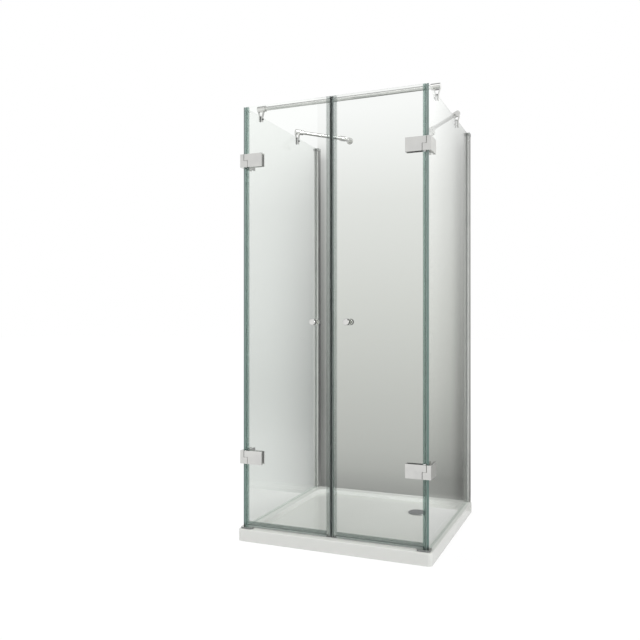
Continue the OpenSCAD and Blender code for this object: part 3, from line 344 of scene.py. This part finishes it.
def hex_sockets(bm, head_mm, flats_mm, deep_mm, from_below=False):
    """Sinks a hexagon socket into every round end face of that radius, or only into those that look down."""
    for face in [f for f in bm.faces if len(f.verts) >= 24]:
        middle = sum((v.co for v in face.verts), Vector()) / len(face.verts)
        spans = [(v.co - middle).length / MM for v in face.verts]
        round_end = max(abs(max(spans) - head_mm), abs(min(spans) - head_mm)) <= 0.1
        if not round_end or from_below and face.normal.z > 0:
            continue
        rim, out = list(face.edges), face.normal.copy()
        bmesh.ops.delete(bm, geom=[face], context="FACES_ONLY")
        turn = out.to_track_quat("Z", "Y").to_matrix().to_4x4()
        ring = bmesh.ops.create_circle(bm, segments=6, radius=flats_mm / math.sqrt(3) * MM,
                                       matrix=Matrix.Translation(middle) @ turn)["verts"]
        mouth = list({e for v in ring for e in v.link_edges})
        bmesh.ops.bridge_loops(bm, edges=rim + mouth)
        sunk = bmesh.ops.extrude_edge_only(bm, edges=mouth)["geom"]
        bmesh.ops.translate(bm, verts=[g for g in sunk if isinstance(g, bmesh.types.BMVert)],
                            vec=-out * deep_mm * MM)
        bmesh.ops.edgeloop_fill(bm, edges=[g for g in sunk if isinstance(g, bmesh.types.BMEdge)])


def finish_piece(bm, name, finishes, body, nodes):
    """Turns the mesh into a piece of the enclosure, shaded smooth over turns of up to 38 degrees."""
    bmesh.ops.recalc_face_normals(bm, faces=bm.faces)
    mesh = bpy.data.meshes.new(name)
    bm.to_mesh(mesh)
    bm.free()
    mesh.shade_smooth()
    mesh.set_sharp_from_angle(angle=math.radians(38))
    for finish in finishes:
        mesh.materials.append(finish)
    piece = bpy.data.objects.new(name, mesh)
    scene.collection.objects.link(piece)
    flat_faces = piece.modifiers.new("flat_faces", "WEIGHTED_NORMAL")
    flat_faces.keep_sharp = True
    flat_faces.weight = 100
    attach(piece, body)
    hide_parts(*nodes)


FACE, EDGE, ARRIS, SPECIAL = range(4)


def edged_pane(node):
    """A pane with ground arrises, in a mesh of its own."""
    bm = node_copy(node, 0.002)
    soften(bm, 1.0, 1, above=60)
    return bm


def glass_part(face, across):
    """Clear face, edge or arris of a pane whose faces look along that axis: 0 for X, 1 for Y.

    The level edge at its top, and the one at a side pane's foot, are clear, as light leaves there without a
    tint."""
    square, height = abs(face.normal[across]), face.calc_center_median().z / MM
    level = abs(face.normal.z) > 0.3 and (height > PANE_HEAD_Z or across == 0 and height < PANE_FOOT_Z)
    return FACE if square > 0.95 or level else EDGE if square < 0.3 else ARRIS


def door_pane(node, name):
    """A door's pane, whose hinge-side edge is painted paler than its others, as painted light."""
    bm = edged_pane(node)
    for face in bm.faces:
        on_hinge_side = face.normal.x * face.calc_center_median().x > 0.4
        face.material_index = SPECIAL if on_hinge_side else glass_part(face, 1)
    finish_piece(bm, name, [glass_face, polished_edge, ground_arris, lit_hinge_edge], BODY_OF[node], [node])


def side_pane(node, name):
    """A side pane, whose faces are green in a narrow strip behind the front edge, a painted reflection of that
    edge.
    """
    bm = edged_pane(node)
    strip_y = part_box(node)[0].y + EDGE_STRIP * MM
    bmesh.ops.bisect_plane(bm, geom=[*bm.verts, *bm.edges, *bm.faces], plane_co=(0, strip_y, 0),
                           plane_no=(0, 1, 0))
    for face in bm.faces:
        in_strip = abs(face.normal.x) > 0.95 and face.calc_center_median().y < strip_y
        face.material_index = SPECIAL if in_strip else glass_part(face, 0)
    finish_piece(bm, name, [glass_face, front_edge, ground_arris, glass_by_edge], BODY_OF[node], [node])


for side in SIDES:
    door_pane(side + "_door_glass", side + "_door_pane")
    side_pane(side + "_side_panel", side + "_side_pane")


# node, piece, finish, slot, edge rounding in mm, segments
FINISHED = [
    ("shower_tray", "tray_shell", cast_acrylic, "tray", 0, 1),
    ("panel_bottom_seals", "pane_foot_strips", clear_pvc, "clear_seal", 0.4, 1),
    ("panel_feet", "corner_feet", chrome_plate, "chrome", 0.8, 3),
    ("threshold_rail", "door_sill", anodised_sill, "aluminium", 0.6, 2),
    ("profile_caps", "channel_caps", moulded_abs, "cap_plastic", 0.5, 2),
    ("profile_screws", "channel_screws", turned_steel, "steel", 0.15, 1),
    ("front_bar", "stabiliser_bar", chrome_tube, "chrome", 0.3, 1),
    ("bar_clamps", "bar_sockets", chrome_plate, "chrome", 0.5, 2),
    ("brace_clamps", "brace_sockets", chrome_plate, "chrome", 0.5, 2),
    ("clamp_screws", "jaw_screws", black_oxide, "black_steel", 0.2, 2),
    ("brace_ends", "brace_swivels", chrome_plate, "chrome", 0.5, 2),
    ("wall_rosettes", "rosettes", chrome_plate, "chrome", 0.8, 3),
    ("swivel_pins", "swivel_pin_rods", turned_steel, "steel", 0.3, 2),
    ("set_screws", "grub_screws", black_oxide, "black_steel", 0.1, 1),
    ("panel_clamp_plates", "pane_clamp_plates", chrome_plate, "chrome", 0.8, 3),
    ("panel_screws", "pane_hinge_screws", turned_steel, "steel", 0.2, 1),
    ("hinge_pins", "hinge_pin_rods", turned_steel, "steel", 0.4, 2),
    ("waste_body", "waste_outlet_body", plated_brass, "waste_metal", 0.4, 2),
    ("drain_cover", "drain_lid", brushed_steel_lid, "drain_steel", 0, 1),
]
for side in SIDES:
    FINISHED += [
        (side + "_wall_profile", side + "_wall_channel", anodised_profile, "aluminium", 0.3, 2),
        (side + "_adjusting_profile", side + "_pane_channel", anodised_profile, "aluminium", 0.3, 2),
        (side + "_brace_tube", side + "_brace", chrome_tube, "chrome", 0.3, 1),
        (side + "_magnet_seal", side + "_meeting_seal", smoky_pvc, "grey_seal", 0.2, 1),
        (side + "_bottom_seal", side + "_sweep_seal", grey_pvc, "grey_seal", 0.2, 1),
        (side + "_hinge_seal", side + "_hinge_side_seal", tinted_pvc, "clear_seal", 0.2, 1),
        (side + "_knobs", side + "_pull_knobs", chrome_plate, "chrome", 0, 1),
        (side + "_knob_stud", side + "_knob_rod", turned_steel, "steel", 0.3, 1),
        (side + "_door_leaves", side + "_door_hinge_plates", chrome_plate, "chrome", 0.9, 3),
        (side + "_panel_leaves", side + "_pane_hinge_plates", chrome_plate, "chrome", 0.9, 3),
        (side + "_door_clamp_plates", side + "_door_clamping", chrome_plate, "chrome", 0.8, 3),
        (side + "_door_screws", side + "_door_hinge_screws", turned_steel, "steel", 0.2, 1),
    ]


def reach(place):
    """How far out of the middle of the tray a place is, along X or Y."""
    return max(abs(place.x), abs(place.y))


def on_basin_rim(edge):
    return all(v.co.z > BASIN_RIM_Z * MM and reach(v.co) < BASIN_RIM_REACH * MM for v in edge.verts)


def on_basin_wall(face):
    middle = face.calc_center_median() / MM
    return (BASIN_WALL_FOOT_Z < middle.z < BASIN_RIM_Z and 0.25 < face.normal.z < 0.97
            and reach(middle) < BASIN_WALL_REACH)


def on_sweep_foot(face):
    return face.calc_center_median().z < SWEEP_FOOT_Z * MM


def on_fin(face):
    return abs(face.calc_center_median().x) > FIN_X * MM


def on_leaf_side(face):
    return abs(face.normal.x) > 0.9


def on_upright_side(face):
    return abs(face.normal.z) < 0.4


# Pieces of two finishes: the second one, and the faces that take it
# The tray's basin wall takes a painted highlight, the feet's upright sides painted shade
SECOND = {"shower_tray": (acrylic_painted_highlight, on_basin_wall), "panel_feet": (plate_painted_shade, on_upright_side)}
for side in SIDES:
    SECOND |= {side + "_bottom_seal": (milky_pvc, on_sweep_foot), side + "_hinge_seal": (dense_pvc, on_fin),
               side + "_door_leaves": (ground_plate, on_leaf_side),
               side + "_panel_leaves": (ground_plate, on_leaf_side)}

# Radius of the screws' heads, width across the flats of their sockets and depth, in mm. The set screws have
# their sockets below
SOCKETS = {"panel_screws": (6, 4, 2.4), "left_door_screws": (6, 4, 2.4), "right_door_screws": (6, 4, 2.4),
           "clamp_screws": (4, 3, 1.8), "profile_screws": (3.5, 2.5, 1.2), "set_screws": (2, 1.5, 1.4, True)}

for node, name, finish, slot, width, segments in FINISHED:
    bm = node_copy(node, 0.03 if node == "shower_tray" else 0.002)
    if node in SOCKETS:
        hex_sockets(bm, *SOCKETS[node])
    soften(bm, width, segments)
    if node == "shower_tray":
        soften(bm, 5, 5, keep=on_basin_rim)
    finishes = [finish]
    if node in SECOND:
        second, takes_it = SECOND[node]
        finishes.append(second)
        for face in bm.faces:
            face.material_index = int(takes_it(face))
    finish_piece(bm, name, finishes, BODY_OF[node], [node])

# Pieces that keep their CAD shape: linings, gaskets and washers, mostly out of sight
KEPT = {"waste_gasket": epdm_rubber, "waste_nut": natural_nylon, "panel_edge_seals": grey_epdm,
        "clamp_liners": epdm_rubber, "panel_gaskets": epdm_rubber, "hinge_washers": natural_nylon}
for side in SIDES:
    KEPT |= {side + "_magnet_strip": magnet_strip, side + "_knob_washers": natural_nylon,
             side + "_door_gaskets": epdm_rubber}
for node, finish in KEPT.items():
    if not NODES[node].material_slots:
        NODES[node].data.materials.append(finish)
    for place in NODES[node].material_slots:
        place.material = finish


# Floor, backdrop, world and lamps

def seen(tree, *flags):
    """1 for rays that have one of those Light Path flags."""
    path = add(tree, "LightPath")
    total = path.outputs[flags[0]]
    for flag in flags[1:]:
        total = add(tree, "Math", {0: total, 1: path.outputs[flag]}, operation="MAXIMUM").outputs[0]
    return total


def greys(*stops, tint=(1, 1, 1)):
    """Ramp stops whose tones take the tint, less so from 0.6 up and not at all at 1."""
    pure = [min(max((tone - 0.6) / 0.4, 0), 1) for _, tone in stops]
    return [(at, [tone * (t + (1 - t) * p) for t in tint] + [1]) for (at, tone), p in zip(stops, pure)]


DIRECT = ("Is Camera Ray", "Is Glossy Ray", "Is Transmission Ray")
# A ray that has met more faces than this has come through a pane, which has two; the backdrop has one
BEHIND_PANE = 1.5
# In metres: half the width of the cabin, just outside the side panes, and the top of the backdrop's ramps
CABIN_X = 0.435
RAMP_TOP = 2.2
# The floor's glow to the eye, next to the white of the sky
FLOOR_GLOW = 0.9


def stage_plane(name, corners, mat):
    bm = bmesh.new()
    bm.faces.new([bm.verts.new(c) for c in corners])
    mesh = bpy.data.meshes.new(name)
    bm.to_mesh(mesh)
    bm.free()
    mesh.materials.append(mat)
    plane = bpy.data.objects.new(name, mesh)
    scene.collection.objects.link(plane)
    return plane


def pale_floor():
    """White to the eye, with a faint shadow. Where glass or gloss shows it, it has painted shade: a soft grey
    beside the tray that grows as white as the rest far off."""
    mat, tree = new_material("pale_floor")
    place = add(tree, "TexCoord").outputs["Object"]
    away = add(tree, "VectorMath", {0: place}, operation="LENGTH").outputs["Value"]
    # Painted shade: grey close to the tray, for what glass and gloss show
    close = add(tree, "MapRange", {"Value": away, "From Min": 0.58, "From Max": 0.75, "To Min": 0.60,
                                   "To Max": 0.69})
    far = add(tree, "MapRange", {"Value": away, "From Min": 0.95, "From Max": 4.0, "To Min": 0.0,
                                 "To Max": 0.2}, interpolation_type="SMOOTHSTEP")
    fade = add(tree, "Math", {0: close.outputs[0], 1: far.outputs[0]}, operation="ADD")
    path = add(tree, "LightPath")
    behind = add(tree, "Math", {0: path.outputs["Transparent Depth"], 1: BEHIND_PANE},
                 operation="GREATER_THAN")
    indirect = add(tree, "Math", {0: behind.outputs[0], 1: path.outputs["Is Glossy Ray"]}, operation="MAXIMUM")
    glow = add(tree, "Mix", {0: indirect.outputs[0], 2: FLOOR_GLOW, 3: fade.outputs[0]}, data_type="FLOAT")
    white = add(tree, "Emission", {"Strength": glow.outputs[0]})
    matt = add(tree, "BsdfDiffuse", {"Color": (0.9, 0.9, 0.9, 1)})
    none = add(tree, "BsdfTransparent", {"Color": (0, 0, 0, 1)})
    little = add(tree, "MixShader", {0: 0.15, 1: none.outputs[0], 2: matt.outputs[0]})
    eye = add(tree, "AddShader", {0: white.outputs[0], 1: little.outputs[0]})
    mix = add(tree, "MixShader", {0: seen(tree, *DIRECT), 1: matt.outputs[0], 2: eye.outputs[0]})
    add(tree, "OutputMaterial", {"Surface": mix.outputs[0]})
    return mat


def studio_wall():
    """A backdrop that only glass and gloss show, with painted shade: white above, grey below, darker in the
    cabin's corners.

    It has one ramp of painted shade up the wall for what is seen within the cabin, one for each side of it, and
    one of painted reflection for what the cabin's gloss mirrors."""
    mat, tree = new_material("studio_wall")
    place = add(tree, "SeparateXYZ", {0: add(tree, "TexCoord").outputs["Object"]})
    rise = add(tree, "MapRange", {"Value": place.outputs["Z"], "From Min": 0.0, "From Max": RAMP_TOP}).outputs[0]
    inner = add(tree, "ValToRGB", {"Fac": rise}, greys(
        (0.0, 0.25), (0.04, 0.31), (0.085, 0.40), (0.13, 0.445), (0.26, 0.515), (0.5, 0.65), (0.76, 0.79),
        (0.93, 0.945), (1.0, 1.0), tint=(0.985, 1, 0.95)))
    left = add(tree, "ValToRGB", {"Fac": rise}, greys(
        (0.0, 0.78), (0.06, 0.805), (0.13, 0.82), (0.24, 0.785), (0.3, 0.79), (0.5, 0.88), (0.73, 0.962),
        (0.97, 1.05), tint=(0.975, 1, 0.985)))
    right = add(tree, "ValToRGB", {"Fac": rise}, greys(
        (0.0, 0.6), (0.015, 0.5), (0.035, 0.22), (0.07, 0.18), (0.16, 0.35), (0.31, 0.52), (0.5, 0.655),
        (0.7, 0.78), (0.82, 0.82), (1.0, 0.97), tint=(0.985, 1, 0.95)))
    # What the cabin's gloss mirrors: a painted reflection, dark over most of the wall
    gloss = add(tree, "ValToRGB", {"Fac": rise}, greys(
        (0.0, 0.5), (0.034, 0.5), (0.05, 0.42), (0.09, 0.3), (0.18, 0.1), (0.75, 0.14), (0.88, 0.5), (1.0, 0.8)))
    across = add(tree, "Math", {0: place.outputs["X"]}, operation="ABSOLUTE").outputs[0]
    outside = add(tree, "Math", {0: across, 1: CABIN_X}, operation="GREATER_THAN").outputs[0]
    on_left = add(tree, "Math", {0: place.outputs["X"], 1: -CABIN_X}, operation="LESS_THAN").outputs[0]
    # Within the cabin each corner has painted shade, darker up to a little below the panes' top
    depth = add(tree, "ValToRGB", {"Fac": rise}, greys(
        (0.05, 0.62), (0.12, 0.7), (0.25, 0.8), (0.45, 0.74), (0.61, 0.68), (0.77, 0.58), (0.872, 0.45),
        (0.895, 0.2), (0.92, 0.04), (0.94, 0.0)))
    near = add(tree, "MapRange", {"Value": across, "From Min": 0.33, "From Max": 0.415},
               interpolation_type="SMOOTHSTEP")
    dark = add(tree, "Math", {0: near.outputs[0], 1: depth.outputs[0]}, operation="MULTIPLY")
    corner = add(tree, "Math", {0: 1.0, 1: dark.outputs[0]}, operation="SUBTRACT")
    # Left of the cabin a painted shadow darkens it towards the profile, most of all low down
    close = add(tree, "MapRange", {"Value": across, "From Min": 0.44, "From Max": 0.85, "To Min": 1.0,
                                   "To Max": 0.0})
    closer = add(tree, "Math", {0: close.outputs[0], 1: 2.0}, operation="POWER")
    most = add(tree, "ValToRGB", {"Fac": rise}, greys(
        (0.0, 0.48), (0.1, 0.42), (0.2, 0.43), (0.4, 0.38), (0.56, 0.33), (0.72, 0.245), (0.83, 0.175),
        (0.91, 0.05), (1.0, 0.0)))
    loss = add(tree, "Math", {0: closer.outputs[0], 1: most.outputs[0]}, operation="MULTIPLY")
    beside_left = add(tree, "Math", {0: 1.0, 1: loss.outputs[0]}, operation="SUBTRACT")
    # Right of it, where the side pane mirrors it, the painted shade darkens it towards the profile in a narrow
    # band
    beside_right = add(tree, "MapRange", {"Value": across, "From Min": 0.49, "From Max": 0.62, "To Min": 0.74,
                                          "To Max": 1.24})
    beyond = add(tree, "Mix", {0: on_left, 2: beside_right.outputs[0], 3: beside_left.outputs[0]},
                 data_type="FLOAT")
    shade = add(tree, "Mix", {0: outside, 2: corner.outputs[0], 3: beyond.outputs[0]}, data_type="FLOAT")
    flank = add(tree, "Mix", {0: on_left, 6: right.outputs[0], 7: left.outputs[0]}, data_type="RGBA")
    plain = add(tree, "Mix", {0: outside, 6: inner.outputs[0], 7: flank.outputs[2]}, data_type="RGBA")
    # Its front alone is seen, through a pane or in gloss
    path = add(tree, "LightPath")
    within = add(tree, "Math", {0: 1.0, 1: outside}, operation="SUBTRACT")
    mirrored = add(tree, "Math", {0: path.outputs["Is Glossy Ray"], 1: within.outputs[0]}, operation="MULTIPLY")
    tone = add(tree, "Mix", {0: mirrored.outputs[0], 6: plain.outputs[2], 7: gloss.outputs[0]}, data_type="RGBA")
    grey = add(tree, "Emission", {"Color": tone.outputs[2], "Strength": shade.outputs[0]})
    behind = add(tree, "Math", {0: path.outputs["Transparent Depth"], 1: BEHIND_PANE},
                 operation="GREATER_THAN")
    eye = add(tree, "Math", {0: path.outputs["Is Camera Ray"], 1: behind.outputs[0]}, operation="MULTIPLY")
    shown = add(tree, "Math", {0: eye.outputs[0], 1: path.outputs["Is Glossy Ray"]}, operation="MAXIMUM")
    front = add(tree, "Math", {0: 1.0, 1: add(tree, "NewGeometry").outputs["Backfacing"]}, operation="SUBTRACT")
    amount = add(tree, "Math", {0: shown.outputs[0], 1: front.outputs[0]}, operation="MULTIPLY")
    clear = add(tree, "BsdfTransparent")
    mix = add(tree, "MixShader", {0: amount.outputs[0], 1: clear.outputs[0], 2: grey.outputs[0]})
    add(tree, "OutputMaterial", {"Surface": mix.outputs[0]})
    return mat


# In metres: the floor's reach, and the backdrop, just behind the wall profiles
FAR = 30
WALL_Y = cad_hi.y + 3 * MM
WALL_LEFT, WALL_RIGHT, WALL_TOP = -1.6, 1.2, 3.2
stage_plane("floor", [(-FAR, -FAR, 0), (FAR, -FAR, 0), (FAR, FAR, 0), (-FAR, FAR, 0)], pale_floor())
backdrop = stage_plane("backdrop", [(WALL_LEFT, WALL_Y, 0), (WALL_RIGHT, WALL_Y, 0),
                                    (WALL_RIGHT, WALL_Y, WALL_TOP), (WALL_LEFT, WALL_Y, WALL_TOP)],
                       studio_wall())
backdrop.visible_shadow = False
backdrop.visible_diffuse = False

world = bpy.data.worlds.new("daylight_tent")
scene.world = world
world.use_nodes = True
sky = world.node_tree
sky.nodes.clear()
heading = add(sky, "TexCoord").outputs["Generated"]
climb = add(sky, "SeparateXYZ", {0: heading}).outputs["Z"]
# In gloss it is white at the horizon and grey overhead
above = add(sky, "MapRange", {"Value": climb, "From Min": 0.08, "From Max": 0.8, "To Min": 1.0, "To Max": 0.45})
# A softbox high in front, left of the camera, that only gloss shows
TO_SOFTBOX = (-0.240, -0.690, 0.683)
aim = add(sky, "VectorMath", {0: heading, 1: TO_SOFTBOX}, operation="DOT_PRODUCT")
softbox = add(sky, "MapRange", {"Value": aim.outputs["Value"], "From Min": 0.965, "From Max": 0.990,
                                "To Min": 0.0, "To Max": 1.4}, interpolation_type="SMOOTHSTEP")
gleam = add(sky, "Math", {0: above.outputs[0], 1: softbox.outputs[0]}, operation="ADD")
glossy = add(sky, "LightPath").outputs["Is Glossy Ray"]
bright = add(sky, "Mix", {0: glossy, 2: 1.0, 3: gleam.outputs[0]}, data_type="FLOAT")
tent = add(sky, "Background", {"Color": (1, 1, 1, 1), "Strength": bright.outputs[0]})
ambient = add(sky, "Background", {"Color": (1, 1, 1, 1), "Strength": 0.5})
either = add(sky, "MixShader", {0: seen(sky, *DIRECT), 1: ambient.outputs[0], 2: tent.outputs[0]})
add(sky, "OutputWorld", {"Surface": either.outputs[0]})

# Lamp, the way to it from the enclosure, strength and spread in degrees. Gloss doesn't mirror the top lamp
for name, towards, strength, spread in (
        ("key_lamp", (0.02, -0.13, 0.14), 0.24, 14),
        ("side_lamp", (0.90, -0.20, 0.35), 0.80, 12),
        ("top_lamp", (-0.35, -0.10, 0.93), 0.86, 26),
):
    lamp = bpy.data.objects.new(name, bpy.data.lights.new(name, "SUN"))
    lamp.data.energy = strength
    lamp.data.angle = math.radians(spread)
    lamp.rotation_euler = Vector(towards).to_track_quat("Z", "Y").to_euler()
    lamp.visible_glossy = name != "top_lamp"
    scene.collection.objects.link(lamp)
